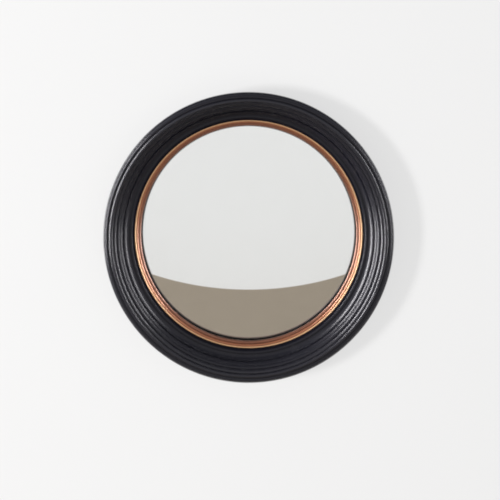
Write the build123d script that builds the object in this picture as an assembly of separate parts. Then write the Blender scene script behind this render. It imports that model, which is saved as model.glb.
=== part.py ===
from build123d import *
import os
from math import cos, radians, sin, sqrt

# A round convex wall mirror: a reeded black moulding, a copper sight ring and a domed glass.
# All sizes are millimetres. The wall is the plane y = 0 and the mirror faces -Y. The Y axis is the
# axis of the mirror and +Z is up. A turned section is drawn as (radius, height above the wall).

# Driving sizes
FRAME_RADIUS = 240.0
SIGHT_RADIUS = 179.2
SIGHT_HEIGHT = 21.5
DOME_RADIUS = 646.0
GLASS_THICKNESS = 3.0
RECESS_DEPTH = 7.0
BACKING_THICKNESS = 9.0
BOARD_THICKNESS = 3.0

# Black moulding
LIP_RADIUS = 190.0
LIP_FRONT = 31.9
LIP_BACK = 28.0
REBATE_RADIUS = 192.0
RECESS_RADIUS = 218.0
RECESS_CHAMFER = 1.2
RECESS_GAP = 0.8
SIDE_TOP = (FRAME_RADIUS - 1.2, 45.8)
SIDE_FOOT = (FRAME_RADIUS - 14.8, 3.0)
SIDE_HOLLOW = 1.2
FOOT_ROUND = 3.0
FOOT_BULGE = 0.25
SEAT_HEIGHT = RECESS_DEPTH + BACKING_THICKNESS

# The reeds of the moulding from the lip outwards: the radius and height where each stretch ends, and
# how far it bulges forward. A bulge of 0 is a straight quirk, and a negative one is a hollow.
MOULDING_REEDS = [
    (193.3, 32.1, 0.0),
    (193.7, 32.8, 0.0),
    (197.8, 33.8, 0.5),
    (198.4, 33.3, 0.0),
    (206.9, 40.7, -1.4),
    (207.9, 39.0, 0.0),
    (212.3, 44.9, 1.0),
    (217.2, 49.2, 1.0),
    (217.9, 48.3, 0.0),
    (223.1, 53.6, 1.4),
    (223.9, 52.3, 0.0),
    (230.4, 55.15, 3.25),
    (231.0, 54.2, 0.0),
    (236.8, 52.2, 2.0),
    (237.2, 51.6, 0.0),
    (FRAME_RADIUS, 48.0, 0.75),
]

# Copper sight ring, with a flange held under the lip of the moulding
COPPER_OUTER = LIP_RADIUS - 0.2
FLANGE_OUTER = REBATE_RADIUS - 0.2
FLANGE_THICKNESS = 2.5
FLANGE_GAP = 0.05
GASKET_THICKNESS = 0.8
GASKET_INNER = SIGHT_RADIUS + 1.4
GASKET_OUTER = SIGHT_RADIUS + 8.9
GASKET_SIDE_GAP = 0.2
SIGHT_GAP = 0.3
SIGHT_WALL = 1.7
COPPER_REEDS = [
    (183.2, 26.2, 1.2),
    (183.7, 25.6, 0.0),
    (186.9, 28.4, 1.1),
    (187.3, 27.9, 0.0),
    (COPPER_OUTER, 29.2, 1.0),
]

# Glass and what holds it from behind
GLASS_EDGE_GAP = 3.0
GLASS_RADIUS = REBATE_RADIUS - GLASS_EDGE_GAP
SILVER_THICKNESS = 0.15
SILVER_MARGIN = 0.5
SILVER_RADIUS = GLASS_RADIUS - SILVER_MARGIN
FOAM_INNER = 174.0
FOAM_OUTER = 186.0
SOFT_EASE = 0.02
BOARD_RADIUS = 190.0
BOARD_GAP = 1.0
BACKING_INNER = BOARD_RADIUS + BOARD_GAP
BACKING_OUTER = RECESS_RADIUS - RECESS_GAP

# Countersunk screws through the backing ring
BACKING_SCREW_COUNT = 12
BACKING_SCREW_FIRST = 15.0
BACKING_SCREW_PITCH_RADIUS = 211.0
BACKING_SCREW_LENGTH = 20.0

# All the screws, which are countersunk in the backing ring and pan-headed elsewhere
SHANK_RADIUS = 2.0
THREAD_EASE = 0.02
DRILL_OVERRUN = 1.0
COUNTERSUNK_HEAD_RADIUS = 3.9
COUNTERSUNK_HEAD_HEIGHT = 2.2
PAN_HEAD_RADIUS = 3.6
PAN_HEAD_HEIGHT = 2.0
PAN_HEAD_RIM = 0.9
PAN_HEAD_CROWN = 0.45
TIP_LENGTH = 4.0
TIP_RADIUS = 0.3
CROSS_WIDTH = 0.9
CROSS_SPAN = 4.2
CROSS_DEPTH = 1.2

# Turn-buttons, which hold the back board in
BUTTON_COUNT = 6
BUTTON_PIVOT_RADIUS = 197.0
BUTTON_THICKNESS = 1.2
BUTTON_HEAD_RADIUS = 6.0
BUTTON_TIP_RADIUS = 4.0
BUTTON_REACH = 14.0
BUTTON_HOLE_RADIUS = SHANK_RADIUS + 0.08
BUTTON_PLAY = 0.1
BUTTON_EDGE_ROUND = 0.3
BUTTON_SCREW_LENGTH = 14.0

# D-ring hangers
HANGER_X = 188.0
HANGER_BAR_Z = 80.5
STRAP_WIDTH = 10.0
STRAP_SHEET = 1.2
STRAP_LENGTH = 22.0
STRAP_SCREW_OFFSETS = (8.6, 17.2)
STRAP_RAMP = 4.6
STRAP_END_ROUND = 4.0
KNUCKLE_CREST = radians(60)
WIRE_RADIUS = 1.1
WIRE_PLAY = 0.08
EYE_HALF_WIDTH = 7.5
EYE_LEG = 4.0
HANGER_SCREW_LENGTH = 14.0

KNUCKLE_BORE = WIRE_RADIUS + WIRE_PLAY
KNUCKLE_RADIUS = KNUCKLE_BORE + STRAP_SHEET
DOME_CENTRE = SIGHT_HEIGHT - sqrt(DOME_RADIUS**2 - SIGHT_RADIUS**2)


def section_point(radius, height):
    """A point of a turned section, in the plane z = 0."""
    return (radius, -height)


def stretch(start, end, bulge):
    """A straight or bulging stretch of a section from start to end, running outwards."""
    if bulge == 0:
        return Line(section_point(*start), section_point(*end))
    return SagittaArc(section_point(*start), section_point(*end), -bulge)


def reeded(start, reeds):
    """The edges of a row of reeds that begins at start."""
    edges = []
    for radius, height, bulge in reeds:
        edges.append(stretch(start, (radius, height), bulge))
        start = (radius, height)
    return edges


def dome_height(radius, offset):
    """The height of the dome at a radius, on the sphere that lies offset outside the glass front."""
    return DOME_CENTRE + sqrt((DOME_RADIUS + offset) ** 2 - radius**2)


def dome_point(radius, offset):
    return (radius, dome_height(radius, offset))


def dome_arc(start_radius, end_radius, offset):
    """An arc of a section that follows the dome."""
    middle = (start_radius + end_radius) / 2
    ends = [section_point(*dome_point(r, offset)) for r in (start_radius, middle, end_radius)]
    return ThreePointArc(*ends)


def path(*points):
    """Straight edges through (radius, height) points."""
    return [stretch(a, b, 0) for a, b in zip(points, points[1:])]


def turned(edges):
    """Turn a closed section about the axis of the mirror."""
    return revolve(make_face(edges), Axis.Y, 360)


def ring_of_spots(count, first, radius):
    """Places on a circle about the axis, on the wall plane, each turned so that -X faces the axis."""
    for i in range(count):
        angle = first + i * 360 / count
        x, z = radius * cos(radians(angle)), radius * sin(radians(angle))
        yield Pos(x, 0, z) * Rot(0, -angle, 0)


def rod(radius, low, high):
    """A round rod along the axis of the mirror, between two heights above the wall."""
    return Pos(0, -(low + high) / 2, 0) * Rot(90, 0, 0) * Cylinder(radius, high - low)


def cone(low_radius, high_radius, low, high):
    """A cone along the axis of the mirror, between two heights above the wall."""
    return Pos(0, -(low + high) / 2, 0) * Rot(90, 0, 0) * Cone(low_radius, high_radius, high - low)


def frame_moulding():
    front = reeded((LIP_RADIUS, LIP_FRONT), MOULDING_REEDS)
    foot_inner = (SIDE_FOOT[0] - FOOT_ROUND, 0)
    side = path((FRAME_RADIUS, MOULDING_REEDS[-1][1]), SIDE_TOP)
    side += [stretch(SIDE_TOP, SIDE_FOOT, -SIDE_HOLLOW)]
    foot = [stretch(SIDE_FOOT, foot_inner, FOOT_ROUND * FOOT_BULGE)]
    back = path(
        foot_inner,
        (RECESS_RADIUS + RECESS_CHAMFER, 0),
        (RECESS_RADIUS, RECESS_CHAMFER),
        (RECESS_RADIUS, SEAT_HEIGHT),
        (REBATE_RADIUS, SEAT_HEIGHT),
        (REBATE_RADIUS, LIP_BACK),
        (LIP_RADIUS, LIP_BACK),
        (LIP_RADIUS, LIP_FRONT),
    )
    body = turned(front + side + foot + back)
    body = bored(body, backing_screw_spots(), BACKING_SCREW_LENGTH)
    body = bored(body, button_spots(), BUTTON_SCREW_LENGTH)
    return bored(body, hanger_screw_spots(), HANGER_SCREW_LENGTH)


def bored(body, spots, screw_length):
    """Drill the moulding from its seat for screws that start at the depth of the recess."""
    low, high = SEAT_HEIGHT - DRILL_OVERRUN, RECESS_DEPTH + screw_length
    drill = rod(SHANK_RADIUS + THREAD_EASE, low, high)
    for spot in spots:
        body -= spot * drill
    return body


def copper_sight_ring():
    sight_foot = dome_point(SIGHT_RADIUS, SIGHT_GAP)
    sight_top = (SIGHT_RADIUS, sight_foot[1] + SIGHT_WALL)
    flange_front = LIP_BACK - FLANGE_GAP
    flange_back = flange_front - FLANGE_THICKNESS
    front = path(sight_foot, sight_top) + reeded(sight_top, COPPER_REEDS)
    edge = path(
        (COPPER_OUTER, COPPER_REEDS[-1][1]),
        (COPPER_OUTER, flange_front),
        (FLANGE_OUTER, flange_front),
        (FLANGE_OUTER, flange_back),
        (GASKET_OUTER, flange_back),
        dome_point(GASKET_OUTER, GASKET_THICKNESS),
    )
    seat = [dome_arc(GASKET_OUTER, GASKET_INNER, GASKET_THICKNESS)]
    step = path(dome_point(GASKET_INNER, GASKET_THICKNESS), dome_point(GASKET_INNER, SIGHT_GAP))
    lip = [dome_arc(GASKET_INNER, SIGHT_RADIUS, SIGHT_GAP)]
    return turned(front + edge + seat + step + lip)


def dome_band(inner, outer, low_offset, high_offset):
    """A ring, or a cap where inner is 0, between two spheres about the centre of the dome."""
    edges = [dome_arc(inner, outer, high_offset)]
    edges += path(dome_point(outer, high_offset), dome_point(outer, low_offset))
    edges += [dome_arc(outer, inner, low_offset)]
    edges += path(dome_point(inner, low_offset), dome_point(inner, high_offset))
    return turned(edges)


def front_gasket():
    inner, outer = GASKET_INNER + GASKET_SIDE_GAP, GASKET_OUTER - GASKET_SIDE_GAP
    return dome_band(inner, outer, SOFT_EASE, GASKET_THICKNESS - SOFT_EASE)


def mirror_glass():
    return dome_band(0, GLASS_RADIUS, -GLASS_THICKNESS, 0)


def silver_backing():
    return dome_band(0, SILVER_RADIUS, -GLASS_THICKNESS - SILVER_THICKNESS, -GLASS_THICKNESS)


def rear_foam_ring():
    offset = -GLASS_THICKNESS - SILVER_THICKNESS - SOFT_EASE
    board_front = RECESS_DEPTH + BOARD_THICKNESS
    edges = [dome_arc(FOAM_INNER, FOAM_OUTER, offset)]
    edges += path(
        dome_point(FOAM_OUTER, offset),
        (FOAM_OUTER, board_front),
        (FOAM_INNER, board_front),
        dome_point(FOAM_INNER, offset),
    )
    return turned(edges)


def back_board():
    return rod(BOARD_RADIUS, RECESS_DEPTH, RECESS_DEPTH + BOARD_THICKNESS)


def backing_screw_spots():
    return ring_of_spots(BACKING_SCREW_COUNT, BACKING_SCREW_FIRST, BACKING_SCREW_PITCH_RADIUS)


def button_spots():
    return ring_of_spots(BUTTON_COUNT, 0, BUTTON_PIVOT_RADIUS)


def hanger_screw_spots():
    for side in (-1, 1):
        for offset in STRAP_SCREW_OFFSETS:
            yield Pos(side * HANGER_X, 0, HANGER_BAR_Z - offset)


def backing_ring():
    ring = rod(BACKING_OUTER, RECESS_DEPTH, SEAT_HEIGHT) - rod(BACKING_INNER, 0, 2 * SEAT_HEIGHT)
    head = COUNTERSUNK_HEAD_RADIUS + THREAD_EASE
    shank = SHANK_RADIUS + THREAD_EASE
    drill = rod(shank, 0, SEAT_HEIGHT + DRILL_OVERRUN)
    countersink = cone(head, shank, RECESS_DEPTH, RECESS_DEPTH + COUNTERSUNK_HEAD_HEIGHT)
    for spot in backing_screw_spots():
        ring -= spot * (drill + countersink)
    for spot in [*button_spots(), *hanger_screw_spots()]:
        ring -= spot * drill
    return ring


def cross_recess(height):
    """The cross-shaped recess that a screwdriver fits, cut from a head whose top is at height."""
    slot = Box(CROSS_SPAN, 2 * CROSS_DEPTH, CROSS_WIDTH) + Box(CROSS_WIDTH, 2 * CROSS_DEPTH, CROSS_SPAN)
    return Pos(0, -height, 0) * slot


def shank(start, length):
    """A round shank with a pointed end, from the height start into the frame."""
    shoulder = start + length - TIP_LENGTH
    return rod(SHANK_RADIUS, start, shoulder) + cone(SHANK_RADIUS, TIP_RADIUS, shoulder, start + length)


def countersunk_screw():
    neck = RECESS_DEPTH + COUNTERSUNK_HEAD_HEIGHT
    head = cone(COUNTERSUNK_HEAD_RADIUS, SHANK_RADIUS, RECESS_DEPTH, neck)
    stem = shank(neck, BACKING_SCREW_LENGTH - COUNTERSUNK_HEAD_HEIGHT)
    return head + stem - cross_recess(RECESS_DEPTH)


def pan_screw(seat, end):
    """A pan-head screw whose head sits on the height seat and whose point is at the height end."""
    top = seat - PAN_HEAD_HEIGHT
    rim = seat - PAN_HEAD_RIM
    crown = [
        Line(section_point(0, top), section_point(0, seat)),
        Line(section_point(0, seat), section_point(PAN_HEAD_RADIUS, seat)),
        Line(section_point(PAN_HEAD_RADIUS, seat), section_point(PAN_HEAD_RADIUS, rim)),
        SagittaArc(section_point(PAN_HEAD_RADIUS, rim), section_point(0, top), PAN_HEAD_CROWN),
    ]
    head = revolve(make_face(crown), Axis.Y, 360)
    return head + shank(seat, end - seat) - cross_recess(top)


def backing_ring_screws():
    return [spot * countersunk_screw() for spot in backing_screw_spots()]


def button_screws():
    seat = RECESS_DEPTH - BUTTON_THICKNESS - 2 * BUTTON_PLAY
    screw = pan_screw(seat, RECESS_DEPTH + BUTTON_SCREW_LENGTH)
    return [spot * screw for spot in button_spots()]


def hanger_screws():
    seat = RECESS_DEPTH - 2 * STRAP_SHEET
    screw = pan_screw(seat, RECESS_DEPTH + HANGER_SCREW_LENGTH)
    return [spot * screw for spot in hanger_screw_spots()]


def turn_button():
    """A tear-shaped plate whose arm points at the axis, with its pivot hole on the spot."""
    head = Circle(BUTTON_HEAD_RADIUS)
    tip = Pos(-BUTTON_REACH, 0) * Circle(BUTTON_TIP_RADIUS)
    outline = make_hull([*head.edges(), *tip.edges()])
    plate = extrude(outline, BUTTON_THICKNESS)
    rounded = plate.faces().sort_by(Axis.Z)[0].edges() + plate.faces().sort_by(Axis.Z)[-1].edges()
    plate = fillet(rounded, BUTTON_EDGE_ROUND)
    plate -= Cylinder(BUTTON_HOLE_RADIUS, 4 * BUTTON_THICKNESS)
    return Pos(0, -(RECESS_DEPTH - BUTTON_PLAY), 0) * Rot(-90, 0, 0) * plate


def hanger_knuckle_height():
    return RECESS_DEPTH - KNUCKLE_RADIUS


def hanger_strap():
    """A folded strap along Z whose knuckle is at z = 0, drawn about x = 0."""
    axis_height = hanger_knuckle_height()
    top = RECESS_DEPTH - 2 * STRAP_SHEET
    rise, fall = KNUCKLE_RADIUS * sin(KNUCKLE_CREST), KNUCKLE_RADIUS * cos(KNUCKLE_CREST)
    middle = (RECESS_DEPTH + top) / 2
    sheet = Pos(0, -middle, -STRAP_LENGTH / 2) * Box(STRAP_WIDTH, 2 * STRAP_SHEET, STRAP_LENGTH)
    ends = [e for e in sheet.edges().filter_by(Axis.Y) if e.center().Z < -STRAP_LENGTH / 2]
    sheet = fillet(ends, STRAP_END_ROUND)
    lean = Polyline(
        (0, -top, -STRAP_RAMP),
        (0, -top, 0),
        (0, -axis_height + rise, -fall),
        (0, -top, -STRAP_RAMP),
    )
    ramp = extrude(make_face(lean), STRAP_WIDTH / 2, dir=(1, 0, 0), both=True)
    knuckle = Pos(0, -axis_height, 0) * Rot(0, 90, 0) * Cylinder(KNUCKLE_RADIUS, STRAP_WIDTH)
    bore = Pos(0, -axis_height, 0) * Rot(0, 90, 0) * Cylinder(KNUCKLE_BORE, 2 * STRAP_WIDTH)
    strap = sheet + ramp + knuckle - bore
    for offset in STRAP_SCREW_OFFSETS:
        strap -= Pos(0, 0, -offset) * rod(SHANK_RADIUS + THREAD_EASE, 0, SEAT_HEIGHT)
    return strap


def hanger_ring():
    """A D-shaped ring of round wire standing up from its bar, which runs along X at z = 0."""
    bar = Rot(0, 90, 0) * Cylinder(WIRE_RADIUS, 2 * EYE_HALF_WIDTH)
    leg = Pos(0, 0, EYE_LEG / 2) * Cylinder(WIRE_RADIUS, EYE_LEG)
    corner = Sphere(WIRE_RADIUS)
    wire = Pos(EYE_HALF_WIDTH, 0, EYE_LEG) * Circle(WIRE_RADIUS)
    bow = revolve(wire, Axis((0, 0, EYE_LEG), (0, -1, 0)), 180)
    ring = bar + bow
    for side in (-1, 1):
        ring += Pos(side * EYE_HALF_WIDTH, 0, 0) * (leg + corner)
    return Pos(0, -hanger_knuckle_height(), 0) * ring


def save(name, solids):
    """Write one node, which is one solid or a group of separate ones."""
    pieces = solids if isinstance(solids, list) else [solids]
    loose = [solid for piece in pieces for solid in piece.solids()]
    node = loose[0] if len(loose) == 1 else Compound(children=loose)
    node.label = name
    export_step(node, f"parts/{name}.step")


os.makedirs("parts", exist_ok=True)

save("frame_moulding", frame_moulding())
save("copper_sight_ring", copper_sight_ring())
save("front_gasket", front_gasket())
save("mirror_glass", mirror_glass())
save("silver_backing", silver_backing())
save("rear_foam_ring", rear_foam_ring())
save("back_board", back_board())
save("backing_ring", backing_ring())
save("backing_ring_screws", backing_ring_screws())
save("turn_button_screws", button_screws())
save("hanger_screws", hanger_screws())

for number, spot in enumerate(button_spots(), start=1):
    save(f"turn_button_{number}", spot * turn_button())

for side_name, side in (("left", -1), ("right", 1)):
    place = Pos(side * HANGER_X, 0, HANGER_BAR_Z)
    save(f"hanger_strap_{side_name}", place * hanger_strap())
    save(f"hanger_ring_{side_name}", place * hanger_ring())
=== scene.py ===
from math import atan2, ceil, cos, hypot, pi, radians, sin, sqrt, tan

import bpy
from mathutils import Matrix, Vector


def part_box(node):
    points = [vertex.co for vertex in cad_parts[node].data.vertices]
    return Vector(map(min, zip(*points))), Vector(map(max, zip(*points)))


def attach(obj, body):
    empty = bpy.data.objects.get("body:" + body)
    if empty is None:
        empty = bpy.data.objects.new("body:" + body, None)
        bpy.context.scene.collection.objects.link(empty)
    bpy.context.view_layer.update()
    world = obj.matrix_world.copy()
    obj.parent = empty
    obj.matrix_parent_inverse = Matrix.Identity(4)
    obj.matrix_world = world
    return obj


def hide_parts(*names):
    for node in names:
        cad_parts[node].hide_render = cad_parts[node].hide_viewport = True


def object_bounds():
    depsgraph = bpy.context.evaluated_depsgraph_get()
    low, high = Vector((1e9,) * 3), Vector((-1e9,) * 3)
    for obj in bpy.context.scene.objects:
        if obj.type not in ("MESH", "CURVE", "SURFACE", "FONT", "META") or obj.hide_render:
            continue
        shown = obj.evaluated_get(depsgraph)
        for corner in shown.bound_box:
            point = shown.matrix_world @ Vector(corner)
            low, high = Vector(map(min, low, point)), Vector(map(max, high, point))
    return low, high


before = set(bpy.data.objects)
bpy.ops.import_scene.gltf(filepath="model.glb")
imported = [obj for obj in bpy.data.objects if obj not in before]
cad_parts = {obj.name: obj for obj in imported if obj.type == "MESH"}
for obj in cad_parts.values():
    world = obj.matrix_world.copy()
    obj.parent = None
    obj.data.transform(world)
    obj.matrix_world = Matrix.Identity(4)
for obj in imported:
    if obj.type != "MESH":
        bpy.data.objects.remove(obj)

# A round convex wall mirror. Sizes are metres, +Z is up, the wall is the plane y = 0 and the mirror faces
# -Y. An outline is drawn as (radius, height above the wall) and turned about the Y axis.

MM = 0.001
CAD_LOW, CAD_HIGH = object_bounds()
SCENE = bpy.context.scene


# ---------------------------------------------------------------------------------------------------------
# Sizes from the frame
# ---------------------------------------------------------------------------------------------------------

def radii(node):
    """The smallest and largest distance of a turned CAD node from the mirror's axis."""
    found = [hypot(v.co.x, v.co.z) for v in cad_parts[node].data.vertices]
    return min(found), max(found)


def top(node):
    """How far a CAD node stands out from the wall."""
    return -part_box(node)[0].y


FRAME_RADIUS = CAD_HIGH.x
CREST_HEIGHT = -CAD_LOW.y
SIGHT_RADIUS, FLANGE_RADIUS = radii("copper_sight_ring")
COPPER_TOP = top("copper_sight_ring")
GLASS_RADIUS = radii("mirror_glass")[1]
GLASS_TOP = top("mirror_glass")
SILVER_RADIUS = radii("silver_backing")[1]
BOARD_TOP = top("back_board")
SEAT_HEIGHT = top("backing_ring")

# Sizes inside the pieces
DOME_RADIUS = 646 * MM
DOME_CENTRE = GLASS_TOP - DOME_RADIUS
GLASS_THICKNESS = 3 * MM
GLASS_ARRIS = 0.4 * MM
SILVER_THICKNESS = 0.15 * MM
GASKET_THICKNESS = 0.8 * MM
FOAM_PINCH = 0.7 * MM
FLANGE_THICKNESS = 2.5 * MM
REBATE_DEPTH = 12 * MM
RECESS_CHAMFER = 1.2 * MM

# Gaps between neighbouring pieces, and how far the lip reaches over the copper flange
FLANGE_GAP = 0.05 * MM
SIGHT_GAP = 0.3 * MM
REBATE_GAP = 0.2 * MM
RECESS_GAP = 0.8 * MM
SILVER_GAP = 0.05 * MM
GASKET_GAP = 0.04 * MM
FOAM_GAP = 0.05 * MM
LIP_OVERLAP = 1.8 * MM

LIP_RADIUS = FLANGE_RADIUS - LIP_OVERLAP
LIP_BACK = SEAT_HEIGHT + REBATE_DEPTH
REBATE_RADIUS = FLANGE_RADIUS + REBATE_GAP
RECESS_RADIUS = radii("backing_ring")[1] + RECESS_GAP

# Rounds on the edges of the turned pieces
MOULDING_EDGE = 0.35 * MM
COPPER_EDGE = 0.15 * MM
GASKET_EDGE = 0.2 * MM
FOAM_EDGE = 0.9 * MM

# Fineness of the meshes. A corner sharper than CORNER_ANGLE is rounded, through the points at ROUND_STOPS,
# and the round takes up to CORNER_REACH of each stretch beside it.
LATHE_STEPS = 480
SOFT_STEPS = 360
DOME_RINGS = 96
ARC_STEP = radians(9)
CORNER_ANGLE = radians(24)
CORNER_REACH = 0.45
ROUND_STOPS = (0, 0.33, 0.67, 1)
CREASE_ANGLE = radians(40)
AXIS_TOLERANCE = 1e-9


# ---------------------------------------------------------------------------------------------------------
# Turned meshes
# ---------------------------------------------------------------------------------------------------------

def bulging(start, end, bulge):
    """Points after start up to end, on the arc that stands bulge forward of their chord."""
    if bulge == 0:
        return [end]
    (r0, h0), (r1, h1) = start, end
    chord = hypot(r1 - r0, h1 - h0)
    half_angle = 2 * atan2(abs(bulge), chord / 2)
    radius = chord / 2 / sin(half_angle)
    side = 1 if bulge > 0 else -1
    forward = (-(h1 - h0) / chord * side, (r1 - r0) / chord * side)
    middle = ((r0 + r1) / 2, (h0 + h1) / 2)
    inset = radius * cos(half_angle)
    centre = (middle[0] - forward[0] * inset, middle[1] - forward[1] * inset)
    along = ((r1 - r0) / chord, (h1 - h0) / chord)
    steps = max(2, ceil(2 * half_angle / ARC_STEP))
    points = []
    for i in range(1, steps + 1):
        turn = -half_angle + 2 * half_angle * i / steps
        a, f = radius * sin(turn), radius * cos(turn)
        place = (centre[0] + along[0] * a + forward[0] * f, centre[1] + along[1] * a + forward[1] * f)
        points.append(place)
    return points


def reeded(start, reeds):
    """An outline from start through a row of reeds given as (radius, height, bulge)."""
    points = [start]
    for radius, height, bulge in reeds:
        points += bulging(points[-1], (radius, height), bulge)
    return points


def softened(outline, size):
    """A closed outline with each sharp corner cut by a small round."""
    result = []
    count = len(outline)
    for i, (r, h) in enumerate(outline):
        before, after = outline[i - 1], outline[(i + 1) % count]
        into = Vector((r - before[0], h - before[1]))
        out = Vector((after[0] - r, after[1] - h))
        if into.angle(out) < CORNER_ANGLE:
            result.append((r, h))
            continue
        corner = Vector((r, h))
        a = corner - into.normalized() * min(size, into.length * CORNER_REACH)
        b = corner + out.normalized() * min(size, out.length * CORNER_REACH)
        for t in ROUND_STOPS:
            p = a * (1 - t) ** 2 + corner * 2 * t * (1 - t) + b * t**2
            result.append((p.x, p.y))
    return result


def lathe(name, outline, material, steps=LATHE_STEPS):
    """A mesh piece turned about the Y axis from a closed outline. A point on the axis becomes a pole."""
    verts, rings = [], []
    for radius, height in outline:
        if radius < AXIS_TOLERANCE:
            rings.append([len(verts)])
            verts.append((0, -height, 0))
            continue
        rings.append(list(range(len(verts), len(verts) + steps)))
        for i in range(steps):
            a = 2 * pi * i / steps
            verts.append((radius * cos(a), -height, radius * sin(a)))
    faces = []
    for low, high in zip(rings, rings[1:] + rings[:1]):
        if len(low) == 1 and len(high) == 1:
            continue
        for i in range(steps):
            j = (i + 1) % steps
            if len(low) == 1:
                faces.append((low[0], high[i], high[j]))
            elif len(high) == 1:
                faces.append((low[i], high[0], low[j]))
            else:
                faces.append((low[i], high[i], high[j], low[j]))
    mesh = bpy.data.meshes.new(name)
    mesh.from_pydata(verts, [], faces)
    mesh.validate()
    mesh.shade_smooth()
    mesh.set_sharp_from_angle(angle=CREASE_ANGLE)
    mesh.materials.append(material)
    piece = bpy.data.objects.new(name, mesh)
    SCENE.collection.objects.link(piece)
    return piece


# ---------------------------------------------------------------------------------------------------------
# Node helpers
# ---------------------------------------------------------------------------------------------------------

class Nodes:
    """A short way to write one material's node tree."""

    def __init__(self, name):
        self.material = bpy.data.materials.new(name)
        self.material.use_nodes = True
        self.tree = self.material.node_tree
        self.tree.nodes.clear()
        self.output = self.add("ShaderNodeOutputMaterial")

    def add(self, kind, **settings):
        node = self.tree.nodes.new(kind)
        for key, value in settings.items():
            setattr(node, key, value)
        return node

    def feed(self, socket, value):
        """Link a socket to a socket, or set its value."""
        if isinstance(value, bpy.types.NodeSocket):
            self.tree.links.new(value, socket)
        elif isinstance(value, tuple) and socket.type == "RGBA":
            socket.default_value = (*value, 1)
        else:
            socket.default_value = value

    def math(self, operation, a, b=0.0):
        node = self.add("ShaderNodeMath", operation=operation)
        self.feed(node.inputs[0], a)
        self.feed(node.inputs[1], b)
        return node.outputs[0]

    def separate(self, vector):
        node = self.add("ShaderNodeSeparateXYZ")
        self.feed(node.inputs[0], vector)
        return node.outputs

    def position(self):
        return self.add("ShaderNodeTexCoord").outputs["Object"]

    def polar(self):
        """The point as (radius, height, arc length on a circle of the frame's radius)."""
        x, y, z = self.separate(self.position())
        square = self.math("ADD", self.math("MULTIPLY", x, x), self.math("MULTIPLY", z, z))
        radius = self.math("SQRT", square)
        angle = self.math("ARCTAN2", z, x)
        join = self.add("ShaderNodeCombineXYZ")
        self.feed(join.inputs[0], radius)
        self.feed(join.inputs[1], y)
        self.feed(join.inputs[2], self.math("MULTIPLY", angle, FRAME_RADIUS))
        return join.outputs[0]

    def stretched(self, vector, scale):
        node = self.add("ShaderNodeMapping")
        self.feed(node.inputs["Vector"], vector)
        self.feed(node.inputs["Scale"], scale)
        return node.outputs[0]

    def noise(self, vector, scale, detail=3.0, roughness=0.55, distortion=0.0):
        node = self.add("ShaderNodeTexNoise")
        self.feed(node.inputs["Vector"], vector)
        self.feed(node.inputs["Scale"], scale)
        self.feed(node.inputs["Detail"], detail)
        self.feed(node.inputs["Roughness"], roughness)
        self.feed(node.inputs["Distortion"], distortion)
        return node.outputs["Fac"]

    def spread(self, value, low, high, to_low=0.0, to_high=1.0):
        """Map a value from one range to another and stop at its ends."""
        node = self.add("ShaderNodeMapRange", clamp=True)
        for socket, v in zip(node.inputs, (value, low, high, to_low, to_high)):
            self.feed(socket, v)
        return node.outputs[0]

    def mix(self, share, a, b):
        node = self.add("ShaderNodeMix", data_type="RGBA")
        self.feed(node.inputs["Factor"], share)
        self.feed(node.inputs[6], a)
        self.feed(node.inputs[7], b)
        return node.outputs[2]

    def bump(self, height, depth, normal=None):
        """A bump whose height runs over depth metres."""
        node = self.add("ShaderNodeBump")
        node.inputs["Strength"].default_value = 1.0
        self.feed(node.inputs["Distance"], depth)
        self.feed(node.inputs["Height"], height)
        if normal is not None:
            self.feed(node.inputs["Normal"], normal)
        return node.outputs[0]

    def occlusion(self, reach):
        """How open a point is to its surroundings within reach metres: 0 deep in a groove, 1 on a crest."""
        node = self.add("ShaderNodeAmbientOcclusion", samples=4)
        self.feed(node.inputs["Distance"], reach)
        return node.outputs["AO"]

    def pointiness(self):
        """How sharply the surface bends: above a half on an edge, below it in a groove."""
        return self.add("ShaderNodeNewGeometry").outputs["Pointiness"]

    def surface(self, **values):
        """Finish with a Principled shader. An underscore in a name stands for a space."""
        shader = self.add("ShaderNodeBsdfPrincipled")
        for name, value in values.items():
            self.feed(shader.inputs[name.replace("_", " ")], value)
        self.feed(self.output.inputs["Surface"], shader.outputs[0])
        return self.material


# ---------------------------------------------------------------------------------------------------------
# Materials
# ---------------------------------------------------------------------------------------------------------

# Painted shade and painted highlights in the lacquer's gloss, outwards: between two radii, from one factor
# to another. The gloss is cut by the lip, where shade falls, raised on the outer reeds to brighten their
# highlights, and lowered again near the edge.
PAINTED_LACQUER_GLOSS = [
    (LIP_RADIUS + 2.9 * MM, LIP_RADIUS + 4.4 * MM, 0.1, 1.1),
    (FRAME_RADIUS - 26 * MM, FRAME_RADIUS - 20 * MM, 0.95, 1.5),
    (FRAME_RADIUS - 8 * MM, FRAME_RADIUS - 5 * MM, 1.0, 0.5),
]

# The pairs of radii between which the copper's colour changes, at the quirks beside the middle reed. The
# steps
# are painted light: painted shade on the two inner reeds, and a painted reflection that makes the outer
# reed pale.
MIDDLE_COPPER = (SIGHT_RADIUS + 3.8 * MM, SIGHT_RADIUS + 4.6 * MM)
OUTER_COPPER = (FLANGE_RADIUS - 4.7 * MM, FLANGE_RADIUS - 3.6 * MM)


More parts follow.
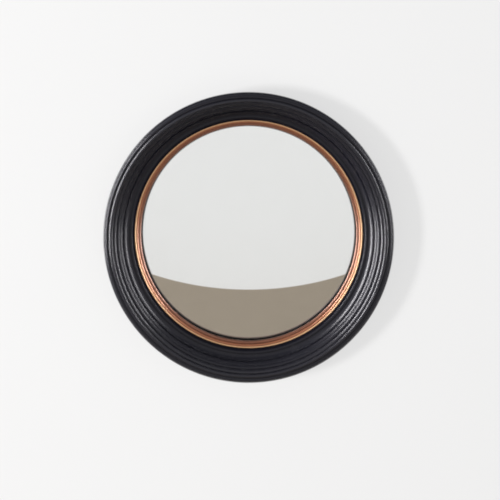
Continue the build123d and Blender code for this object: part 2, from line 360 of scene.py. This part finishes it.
def black_lacquer():
    """Satin black lacquer on a moulded profile, with a faint peel, run lines and dust in the quirks, and
    painted shade and painted highlights in its gloss.
    """
    n = Nodes("black_lacquer")
    point = n.position()
    polar = n.polar()
    cloud = n.noise(point, 14, 4)
    peel = n.noise(point, 900, 2)
    lines = n.noise(n.stretched(polar, (1.0, 1.0, 0.012)), 1800, 3)
    grain = n.noise(point, 4000, 2)
    hollow = n.spread(n.pointiness(), 0.5, 0.46)
    dust = n.math("MULTIPLY", hollow, n.spread(n.noise(point, 60, 5), 0.5, 0.8, 0.0, 0.12))
    paint = n.mix(cloud, (0.0045, 0.0043, 0.0072), (0.0065, 0.0064, 0.0097))
    colour = n.mix(dust, paint, (0.12, 0.115, 0.11))
    rough = n.math("ADD", n.spread(cloud, 0.3, 0.7, 0.25, 0.28), n.spread(grain, 0.3, 0.7, -0.01, 0.02))
    rough = n.math("ADD", rough, n.math("MULTIPLY", dust, 0.4))
    relief = n.bump(lines, 0.0005 * MM, n.bump(peel, 0.001 * MM))
    # Painted shade: the gloss falls in the grooves, where the surroundings are hidden.
    gloss = n.spread(n.occlusion(5 * MM), 0.35, 0.85, 0.03, 0.28)
    radius = n.separate(polar)[0]
    # Painted shade by the lip and painted highlights on the outer reeds.
    for start, end, inside, outside in PAINTED_LACQUER_GLOSS:
        gloss = n.math("MULTIPLY", gloss, n.spread(radius, start, end, inside, outside))
    # Painted reflection colour: the faint blue tint stands in for the colour of the reflected light, beside
    # the painted gloss.
    painted_sheen = {"Specular_IOR_Level": gloss, "Specular_Tint": (0.96, 0.95, 1.0)}
    return n.surface(Base_Color=colour, Roughness=rough, Normal=relief, **painted_sheen)


def copper_leaf():
    """Burnished copper paint, with painted shade darkest on the reed by the glass and a painted reflection
    that makes the outer reed pale.
    """
    n = Nodes("copper_leaf")
    point = n.position()
    polar = n.polar()
    radius = n.separate(polar)[0]
    streak = n.noise(n.stretched(polar, (1.0, 1.0, 0.03)), 900, 4)
    cloud = n.noise(point, 45, 4)
    fleck = n.noise(point, 1500, 3)
    quirk = n.spread(n.pointiness(), 0.5, 0.44)
    wash = n.math("MULTIPLY", quirk, n.spread(cloud, 0.3, 0.7, 0.6, 1.0))
    # Painted light: the inner and middle reeds are shaded copies of the copper, and the outer reed is a
    # pale, lit copy.
    painted_pale_outer = n.spread(radius, *OUTER_COPPER)
    past_inner_reed = n.spread(radius, *MIDDLE_COPPER)
    brushed = n.spread(streak, 0.3, 0.7)
    inner = n.mix(brushed, (0.15, 0.04, 0.014), (0.21, 0.062, 0.022))
    middle = n.mix(brushed, (0.25, 0.07, 0.022), (0.35, 0.11, 0.038))
    warm = n.mix(painted_pale_outer, n.mix(past_inner_reed, inner, middle), (0.82, 0.46, 0.23))
    warm = n.mix(n.spread(fleck, 0.62, 0.75, 0.0, 0.5), warm, (0.7, 0.4, 0.27))
    colour = n.mix(wash, warm, (0.07, 0.022, 0.012))
    rough = n.math("ADD", n.spread(streak, 0.3, 0.7, 0.26, 0.31), n.math("MULTIPLY", wash, 0.25))
    relief = n.bump(streak, 0.0008 * MM, n.bump(fleck, 0.0008 * MM))
    metal = n.spread(wash, 0.0, 1.0, 0.85, 0.6)
    coat = {"Coat_Weight": n.spread(painted_pale_outer, 0.0, 1.0, 1.0, 0.5), "Coat_Roughness": 0.24, "Coat_IOR": 1.55}
    return n.surface(Base_Color=colour, Metallic=metal, Roughness=rough, Normal=relief, **coat)


def hidden_side_shade():
    """Painted shade: a brown-black colour for the hidden sides of the copper ring, where shade falls."""
    n = Nodes("hidden_side_shade")
    cloud = n.noise(n.position(), 400, 4)
    colour = n.mix(cloud, (0.012, 0.007, 0.005), (0.035, 0.018, 0.012))
    return n.surface(Base_Color=colour, Roughness=0.5, Normal=n.bump(cloud, 0.02 * MM))


def mirror_pane():
    """Clear bent glass with a faint waviness and a few wiping marks."""
    n = Nodes("mirror_pane")
    point = n.position()
    wave = n.noise(point, 9, 1)
    wipe = n.noise(n.stretched(point, (1.0, 1.0, 0.25)), 40, 4, distortion=1.0)
    rough = n.spread(wipe, 0.66, 0.85, 0.0, 0.02)
    relief = n.bump(wave, 0.02 * MM)
    clear = {"Base_Color": (0.97, 0.98, 0.977), "IOR": 1.52, "Transmission_Weight": 1.0}
    return n.surface(Roughness=rough, Normal=relief, **clear)


def silver_coat():
    """The silvered side of the coat, seen through the glass."""
    n = Nodes("silver_coat")
    cloud = n.noise(n.position(), 30, 3)
    colour = n.mix(cloud, (0.93, 0.93, 0.92), (0.95, 0.95, 0.945))
    return n.surface(Base_Color=colour, Metallic=1.0, Roughness=n.spread(cloud, 0.4, 0.7, 0.0, 0.008))


def backing_paint():
    """The grey-green protective paint on the rear of the coat."""
    n = Nodes("backing_paint")
    point = n.position()
    cloud = n.noise(point, 20, 4)
    colour = n.mix(cloud, (0.1, 0.12, 0.11), (0.15, 0.17, 0.155))
    return n.surface(Base_Color=colour, Roughness=0.5, Normal=n.bump(n.noise(point, 700, 2), 0.02 * MM))


def gasket_tape():
    """Dull black tape with a fine weave."""
    n = Nodes("gasket_tape")
    weave = n.noise(n.position(), 2500, 2)
    colour = n.mix(weave, (0.012, 0.012, 0.012), (0.03, 0.03, 0.03))
    return n.surface(Base_Color=colour, Roughness=0.85, Normal=n.bump(weave, 0.05 * MM))


def foam():
    """Grey closed-cell foam."""
    n = Nodes("foam")
    cells = n.add("ShaderNodeTexVoronoi")
    n.feed(cells.inputs["Vector"], n.position())
    n.feed(cells.inputs["Scale"], 900.0)
    size = cells.outputs["Distance"]
    colour = n.mix(n.spread(size, 0.0, 0.7), (0.1, 0.1, 0.105), (0.2, 0.2, 0.21))
    return n.surface(Base_Color=colour, Roughness=0.95, Normal=n.bump(size, 0.2 * MM))


def fibreboard():
    """Raw pressed fibres: a fine tan speckle with short paler and darker hairs."""
    n = Nodes("fibreboard")
    point = n.position()
    speck = n.noise(point, 1600, 3)
    hair = n.noise(n.stretched(point, (1.0, 1.0, 0.25)), 900, 4, distortion=2.0)
    cloud = n.noise(point, 18, 3)
    tan = n.mix(cloud, (0.42, 0.28, 0.165), (0.5, 0.345, 0.21))
    tan = n.mix(n.spread(hair, 0.5, 0.68, 0.0, 0.55), tan, (0.62, 0.46, 0.3))
    tan = n.mix(n.spread(speck, 0.6, 0.72, 0.0, 0.6), tan, (0.23, 0.14, 0.08))
    relief = n.bump(n.math("ADD", speck, hair), 0.05 * MM)
    return n.surface(Base_Color=tan, Roughness=0.82, Normal=relief, Specular_IOR_Level=0.3)


def hardboard():
    """Tempered hardboard with its smooth brown side out: a mottled sheen over pressed fibres."""
    n = Nodes("hardboard")
    point = n.position()
    cloud = n.noise(point, 12, 5, 0.6)
    blot = n.noise(point, 90, 4)
    fibre = n.noise(n.stretched(point, (0.3, 1.0, 1.0)), 1300, 4, distortion=3.0)
    brown = n.mix(cloud, (0.15, 0.078, 0.04), (0.23, 0.13, 0.07))
    brown = n.mix(n.spread(blot, 0.5, 0.75, 0.0, 0.5), brown, (0.11, 0.055, 0.03))
    brown = n.mix(n.spread(fibre, 0.6, 0.75, 0.0, 0.7), brown, (0.36, 0.23, 0.13))
    rough = n.spread(blot, 0.3, 0.7, 0.42, 0.58)
    return n.surface(Base_Color=brown, Roughness=rough, Normal=n.bump(fibre, 0.03 * MM))


def plated(name, dark, light, low, high, grain):
    """Plated steel: rolled grain, small cloudy patches, fine scratches, and painted shade that darkens the
    recesses.
    """
    n = Nodes(name)
    point = n.position()
    patch = n.noise(point, 260, 4, distortion=0.6)
    roll = n.noise(n.stretched(point, (1.0, 1.0, 0.08)), grain, 3)
    scratch = n.spread(n.noise(n.stretched(point, (0.06, 1.0, 1.0)), 3500, 2), 0.66, 0.72)
    colour = n.mix(n.spread(patch, 0.35, 0.65), dark, light)
    # Painted shade: the colour darkens in recesses, where less light reaches.
    colour = n.mix(n.spread(n.occlusion(1.5 * MM), 0.25, 0.85), tuple(0.2 * c for c in dark), colour)
    rough = n.math("ADD", n.spread(patch, 0.3, 0.7, low, high), n.math("MULTIPLY", scratch, 0.12))
    relief = n.bump(roll, 0.01 * MM, n.bump(scratch, -0.008 * MM))
    return n.surface(Base_Color=colour, Metallic=1.0, Roughness=rough, Normal=relief)


def stage_paint(name, pale, deep, scale, glow=0.0):
    """Plain matte paint for the walls and floor, which can give a little light of its own."""
    n = Nodes(name)
    colour = n.mix(n.noise(n.position(), scale, 3), pale, deep)
    own_light = {"Emission_Color": (1.0, 1.0, 1.0), "Emission_Strength": glow}
    return n.surface(Base_Color=colour, Roughness=0.9, Specular_IOR_Level=0.2, **own_light)


LACQUER = black_lacquer()
COPPER = copper_leaf()
HIDDEN_SIDE_SHADE = hidden_side_shade()
PANE = mirror_pane()
SILVER = silver_coat()
BACKING_PAINT = backing_paint()
GASKET = gasket_tape()
FOAM = foam()
ZINC = plated("zinc_plate", (0.58, 0.59, 0.6), (0.76, 0.77, 0.76), 0.24, 0.36, 2200.0)
NICKEL = plated("nickel_plate", (0.62, 0.6, 0.56), (0.74, 0.72, 0.68), 0.16, 0.26, 1800.0)
BLACK_STEEL = plated("black_steel", (0.03, 0.03, 0.032), (0.06, 0.06, 0.062), 0.36, 0.5, 2200.0)


# ---------------------------------------------------------------------------------------------------------
# Pieces that replace turned CAD nodes
# ---------------------------------------------------------------------------------------------------------

# The reeds of the moulding, outwards from the lip: how far each ends inside the frame's radius and below
# its crest, and how far it bulges forward, all in millimetres. A negative bulge is a hollow.
MOULDING_START = (50.0, 25.1)
MOULDING_REEDS = [
    (46.7, 24.9, 0.0),
    (46.3, 24.2, 0.0),
    (42.2, 23.2, 0.5),
    (41.6, 23.7, 0.0),
    (33.1, 16.3, -1.4),
    (32.1, 18.0, 0.0),
    (27.7, 12.1, 1.0),
    (22.8, 7.8, 1.0),
    (22.1, 8.7, 0.0),
    (16.9, 3.4, 1.4),
    (16.1, 4.7, 0.0),
    (9.6, 1.85, 3.25),
    (9.0, 2.8, 0.0),
    (3.2, 4.8, 2.0),
    (2.8, 5.4, 0.0),
    (0.0, 9.0, 0.75),
]
SIDE_TOP = (1.2, 11.2)
SIDE_FOOT = (14.8, 54.0)
SIDE_HOLLOW = 1.2 * MM
FOOT_ROUND = 3 * MM
FOOT_BULGE = FOOT_ROUND * 0.25

# The same for the copper ring: outside the sight radius and below the ring's top.
COPPER_REEDS = [
    (4.0, 3.4, 1.2),
    (4.5, 4.0, 0.0),
    (7.7, 1.2, 1.1),
    (8.1, 1.7, 0.0),
    (10.6, 0.4, 1.0),
]
SIGHT_WALL = 1.7 * MM
WALL_SLACK = 0.05 * MM
FACING = 0.5


def from_crest(inset, drop):
    """A point this many millimetres inside the frame's radius and below its crest."""
    return FRAME_RADIUS - inset * MM, CREST_HEIGHT - drop * MM


def put_in_place(piece, node):
    """Fix a piece to the mirror's body in the place of a CAD node."""
    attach(piece, "mirror_body")
    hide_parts(node)


def repaint(piece, material, chosen):
    """Give a second material to each face that is chosen."""
    piece.data.materials.append(material)
    for face in piece.data.polygons:
        if chosen(face):
            face.material_index = 1


def moulding():
    """The reeded black ring, with its hollow side, its rear recess and the rebate behind its lip."""
    start = from_crest(*MOULDING_START)
    front = reeded(start, [(*from_crest(i, d), b * MM) for i, d, b in MOULDING_REEDS])
    side_top, side_foot = from_crest(*SIDE_TOP), from_crest(*SIDE_FOOT)
    foot_inner = (side_foot[0] - FOOT_ROUND, 0)
    outline = front + [side_top] + bulging(side_top, side_foot, -SIDE_HOLLOW)
    outline += bulging(side_foot, foot_inner, FOOT_BULGE)
    outline += [(RECESS_RADIUS + RECESS_CHAMFER, 0), (RECESS_RADIUS, RECESS_CHAMFER)]
    outline += [(RECESS_RADIUS, SEAT_HEIGHT)]
    outline += [(REBATE_RADIUS, SEAT_HEIGHT), (REBATE_RADIUS, LIP_BACK), (LIP_RADIUS, LIP_BACK)]
    piece = lathe("reeded_moulding", softened(outline, MOULDING_EDGE), LACQUER)
    put_in_place(piece, "frame_moulding")


def dome_height(radius, offset):
    """The height at a radius of the sphere that lies offset outside the glass front."""
    return DOME_CENTRE + sqrt((DOME_RADIUS + offset) ** 2 - radius**2)


def dome_points(inner, outer, offset, count):
    """Points of an outline on the sphere that lies offset outside the glass front."""
    found = []
    for i in range(count + 1):
        radius = inner + (outer - inner) * i / count
        found.append((radius, dome_height(radius, offset)))
    return found


def hidden_copper(face):
    """Whether a face of the copper ring is its inner wall or looks back at the glass."""
    on_wall = hypot(face.center.x, face.center.z) < SIGHT_RADIUS + WALL_SLACK
    return on_wall and abs(face.normal.y) < FACING or face.normal.y > FACING


def copper_ring():
    """The copper ring of three reeds, with a flange behind the lip and a rear that follows the dome."""
    sight_top = (SIGHT_RADIUS, dome_height(SIGHT_RADIUS, SIGHT_GAP) + SIGHT_WALL)
    reeds = [(SIGHT_RADIUS + o * MM, COPPER_TOP - d * MM, b * MM) for o, d, b in COPPER_REEDS]
    flange_front = LIP_BACK - FLANGE_GAP
    flange_back = flange_front - FLANGE_THICKNESS
    gasket_inner, gasket_outer = radii("front_gasket")
    outline = reeded(sight_top, reeds)
    outline += [(reeds[-1][0], flange_front), (FLANGE_RADIUS, flange_front), (FLANGE_RADIUS, flange_back)]
    outline += [(gasket_outer, flange_back)]
    outline += dome_points(gasket_outer, gasket_inner, GASKET_THICKNESS, count=4)
    outline += dome_points(gasket_inner, SIGHT_RADIUS, SIGHT_GAP, count=2)
    piece = lathe("reeded_copper_ring", softened(outline, COPPER_EDGE), COPPER)
    # Painted shade on the ring's inner wall and on the faces that look back at the glass.
    repaint(piece, HIDDEN_SIDE_SHADE, hidden_copper)
    put_in_place(piece, "copper_sight_ring")


def glass():
    """The bent pane, with a narrow arris ground round its edge."""
    front = dome_points(0, GLASS_RADIUS - GLASS_ARRIS, 0, DOME_RINGS)
    back = dome_points(GLASS_RADIUS - GLASS_ARRIS, 0, -GLASS_THICKNESS, DOME_RINGS)
    edge = [
        (GLASS_RADIUS, dome_height(GLASS_RADIUS, 0) - GLASS_ARRIS),
        (GLASS_RADIUS, dome_height(GLASS_RADIUS, -GLASS_THICKNESS) + GLASS_ARRIS),
    ]
    piece = lathe("domed_pane", front + edge + back, PANE)
    put_in_place(piece, "mirror_glass")


def silver():
    """The coat: its front sits just inside the glass, so that the two surfaces never fight."""
    front = dome_points(0, SILVER_RADIUS, SILVER_GAP - GLASS_THICKNESS, DOME_RINGS)
    back = dome_points(SILVER_RADIUS, 0, -GLASS_THICKNESS - SILVER_THICKNESS, DOME_RINGS)
    piece = lathe("silvered_coat", front + back, SILVER)
    repaint(piece, BACKING_PAINT, lambda face: face.normal.y > 0)
    put_in_place(piece, "silver_backing")


def gasket():
    """Soft tape that fills the gap between the copper ring and the glass, with eased edges."""
    inner, outer = radii("front_gasket")
    front = dome_points(inner, outer, GASKET_THICKNESS - GASKET_GAP, count=8)
    back = dome_points(outer, inner, GASKET_GAP, count=8)
    piece = lathe("gasket_tape", softened(front + back, GASKET_EDGE), GASKET, SOFT_STEPS)
    put_in_place(piece, "front_gasket")


def foam_strip():
    """The foam that presses the glass forward: round-edged, with sides that pull in under the pressure."""
    inner, outer = radii("rear_foam_ring")
    front = dome_points(inner, outer, -GLASS_THICKNESS - SILVER_THICKNESS - FOAM_GAP, count=10)
    back = [(outer, BOARD_TOP + FOAM_GAP), (inner, BOARD_TOP + FOAM_GAP)]
    outer_side = bulging(front[-1], back[0], -FOAM_PINCH)[:-1]
    inner_side = bulging(back[1], front[0], -FOAM_PINCH)[:-1]
    outline = front + outer_side + back + inner_side
    piece = lathe("foam_strip", softened(outline, FOAM_EDGE), FOAM, SOFT_STEPS)
    put_in_place(piece, "rear_foam_ring")


def paint_node(name, material):
    """Give a CAD node that is shown as it is a finished material."""
    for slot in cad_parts[name].material_slots:
        slot.material = material


moulding()
copper_ring()
glass()
silver()
gasket()
foam_strip()
paint_node("back_board", hardboard())
paint_node("backing_ring", fibreboard())
paint_node("backing_ring_screws", BLACK_STEEL)
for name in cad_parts:
    if name.startswith(("turn_button", "hanger_strap", "hanger_screws")):
        paint_node(name, ZINC)
    if name.startswith("hanger_ring"):
        paint_node(name, NICKEL)


# ---------------------------------------------------------------------------------------------------------
# Stage, light and camera
# ---------------------------------------------------------------------------------------------------------

# The room: its floor and ceiling from the mirror's centre, its half width, and how far out the wall behind
# the camera stands. The two walls glow a little, so that they are pale where the lights do not reach.
FLOOR_DROP = 1.9
CEILING = 3.0
ROOM_HALF_WIDTH = 4.0
ROOM_DEPTH = 2.75
WALL_GLOW = 0.665
FAR_GLOW = 0.63

# The camera looks from above. Its lens shift and the frame's width are shares of the picture's width.
CAMERA_DISTANCE = 2.5
CAMERA_RISE = radians(16)
FRAME_SHARE = 0.5811
AIM_RIGHT = 0.00265
AIM_DOWN = -0.0253
SENSOR_WIDTH = 36
PICTURE_WIDTH = FRAME_RADIUS * 2 / FRAME_SHARE
OUTLINE_HEIGHT = CREST_HEIGHT - MOULDING_REEDS[-1][1] * MM

# The camera is at home when it is farther out than HOME_LIMIT. Past SIDE_VIEW it is beside or behind the
# mirror. The windows are dimmed by these factors in other front views and in side or rear views.
HOME_LIMIT = -0.95 * CAMERA_DISTANCE
SIDE_VIEW = -0.5
FRONT_DIMMING = 0.35
SIDE_DIMMING = 0.06

# Lights, each as its place, its width and height, and its power in watts.
DAYLIGHT = (1.0, 0.99, 0.98)
COOL_DAYLIGHT = (0.8, 1.0, 1.15)
WINDOWS = {
    "left_window": ((-4.6, -0.85, 0.35), (0.85, 5.0), 840),
    "right_window": ((4.6, -0.95, 0.35), (0.75, 4.2), 285),
}
SHADOW_LIGHT = ((-2.4, -2.7, 0.2), (0.75, 0.75), 270)
REAR_LIGHT = ((-1.4, 2.0, 1.4), (1.6, 1.6), 40)

# Each piece that the windows light, its share of their power, and their colour there.
WINDOW_RECEIVERS = [
    ("reeded_moulding", 1.0, DAYLIGHT),
    ("reeded_copper_ring", 2.1, COOL_DAYLIGHT),
]

# The light of the room is even above and below, and strongest near the level of the mirror.
ROOM_TINT = (0.95, 0.97, 1.0, 1)
ROOM_DIM = (0.3, 0.3, 0.3, 1)
ROOM_BRIGHT = (0.82, 0.82, 0.82, 1)
BRIGHT_LEVEL = 0.6


def sheet(name, corners, material):
    """A flat stage panel through four corners."""
    mesh = bpy.data.meshes.new(name)
    mesh.from_pydata(corners, [], [(0, 1, 2, 3)])
    mesh.materials.append(material)
    panel = bpy.data.objects.new(name, mesh)
    SCENE.collection.objects.link(panel)
    return panel


def driven(owner, path, expression):
    """Drive a value from y, the camera's place along the mirror's axis."""
    driver = owner.driver_add(path).driver
    driver.type = "SCRIPTED"
    y = driver.variables.new()
    y.name = "y"
    y.type = "TRANSFORMS"
    y.targets[0].id = SCENE.camera
    y.targets[0].transform_type = "LOC_Y"
    driver.expression = expression


def at_home(here, elsewhere):
    """An expression that tells the main view from any other one by the camera's distance."""
    return f"{here:.5f} if y < {HOME_LIMIT:.3f} else {elsewhere:.5f}"


def window_power(power):
    """Full power in the main view, less in other front views, and little from the side or behind."""
    front, side = power * FRONT_DIMMING, power * SIDE_DIMMING
    return at_home(power, front) + f" if y < {SIDE_VIEW:.3f} else {side:.5f}"


def camera():
    """Level camera above the mirror, with its lens shifted down, so that the round frame stays round."""
    data = bpy.data.cameras.new("camera")
    viewer = bpy.data.objects.new("camera", data)
    SCENE.collection.objects.link(viewer)
    SCENE.camera = viewer
    rise = CAMERA_DISTANCE * tan(CAMERA_RISE)
    viewer.location = (0, -OUTLINE_HEIGHT - CAMERA_DISTANCE, rise)
    viewer.rotation_euler = (pi / 2, 0, 0)
    data.sensor_width = SENSOR_WIDTH
    data.lens = SENSOR_WIDTH * CAMERA_DISTANCE / PICTURE_WIDTH
    data.shift_x = AIM_RIGHT
    shift = -rise / PICTURE_WIDTH + AIM_DOWN
    # Views from other sides bring the camera nearer and aim it at the mirror, so they need no shift.
    driven(data, "shift_y", at_home(shift, 0))


def room():
    """The wall that the mirror hangs on, the floor, and the wall behind the camera."""
    left, right = -ROOM_HALF_WIDTH, ROOM_HALF_WIDTH
    low, high = -FLOOR_DROP, CEILING
    wall_paint = stage_paint("wall_paint", (0.15, 0.15, 0.15), (0.155, 0.155, 0.155), 3.0, WALL_GLOW)
    wall = sheet("wall", [(left, 0, low), (right, 0, low), (right, 0, high), (left, 0, high)], wall_paint)
    driven(wall, "hide_render", f"y > {SIDE_VIEW}")
    floor_paint = stage_paint("floor_paint", (0.46, 0.39, 0.31), (0.5, 0.425, 0.34), 5.0)
    front, back = -2 * ROOM_DEPTH, 2 * ROOM_DEPTH
    corners = [(left, front, low), (right, front, low), (right, back, low), (left, back, low)]
    sheet("floor", corners, floor_paint)
    far_paint = stage_paint("far_paint", (0.3, 0.3, 0.3), (0.31, 0.308, 0.308), 2.0, FAR_GLOW)
    y = -ROOM_DEPTH
    sheet("far_wall", [(left, y, low), (left, y, high), (right, y, high), (right, y, low)], far_paint)


def softbox(name, place, size, power, colour=(1, 1, 1)):
    """A rectangular soft light that faces the mirror."""
    data = bpy.data.lights.new(name, "AREA")
    data.shape = "RECTANGLE"
    data.size, data.size_y = size
    data.energy = power
    data.color = colour
    light = bpy.data.objects.new(name, data)
    SCENE.collection.objects.link(light)
    light.location = place
    light.rotation_mode = "QUATERNION"
    light.rotation_quaternion = (-Vector(place)).to_track_quat("-Z", "Y")
    light.visible_camera = False
    return light


def shine_only_on(light, name):
    """Let a light reach one object. Other objects still block it."""
    group = bpy.data.collections.new("lit_" + name)
    group.objects.link(bpy.data.objects[name])
    light.light_linking.receiver_collection = group


def room_light():
    """Plain soft light from all round, strongest near the level of the mirror."""
    world = bpy.data.worlds.new("room_light")
    world.use_nodes = True
    tree = world.node_tree
    background = tree.nodes["Background"]
    background.inputs["Color"].default_value = ROOM_TINT
    place = tree.nodes.new("ShaderNodeTexCoord")
    split = tree.nodes.new("ShaderNodeSeparateXYZ")
    tree.links.new(place.outputs["Generated"], split.inputs[0])
    rise = tree.nodes.new("ShaderNodeMapRange")
    rise.inputs["From Min"].default_value = -1
    tree.links.new(split.outputs["Z"], rise.inputs["Value"])
    ramp = tree.nodes.new("ShaderNodeValToRGB")
    for end in ramp.color_ramp.elements:
        end.color = ROOM_DIM
    ramp.color_ramp.elements.new(BRIGHT_LEVEL).color = ROOM_BRIGHT
    tree.links.new(rise.outputs[0], ramp.inputs[0])
    tree.links.new(ramp.outputs[0], background.inputs["Strength"])
    return world


def lights():
    """Windows that glint on the frame, a soft light for the wall's shadow, and one on the back."""
    for piece, share, colour in WINDOW_RECEIVERS:
        for name, (place, size, power) in WINDOWS.items():
            # A window glares when seen across the frame from other sides, so it is dimmer there.
            window = softbox(name, place, size, power, colour)
            driven(window.data, "energy", window_power(power * share))
            shine_only_on(window, piece)
    soft = softbox("left_soft", *SHADOW_LIGHT, DAYLIGHT)
    shine_only_on(soft, "wall")
    soft.visible_glossy = False
    soft.visible_transmission = False
    softbox("rear_fill", *REAR_LIGHT)
    SCENE.world = room_light()


camera()
room()
lights()
SCENE.view_settings.view_transform = "Standard"
SCENE.cycles.use_denoising = True

# A wide filter and capped glints keep the narrow highlights of the reeds smooth.
SCENE.cycles.filter_width = 2.0
SCENE.cycles.sample_clamp_direct = 5.0
SCENE.cycles.caustics_reflective = False
SCENE.cycles.caustics_refractive = False
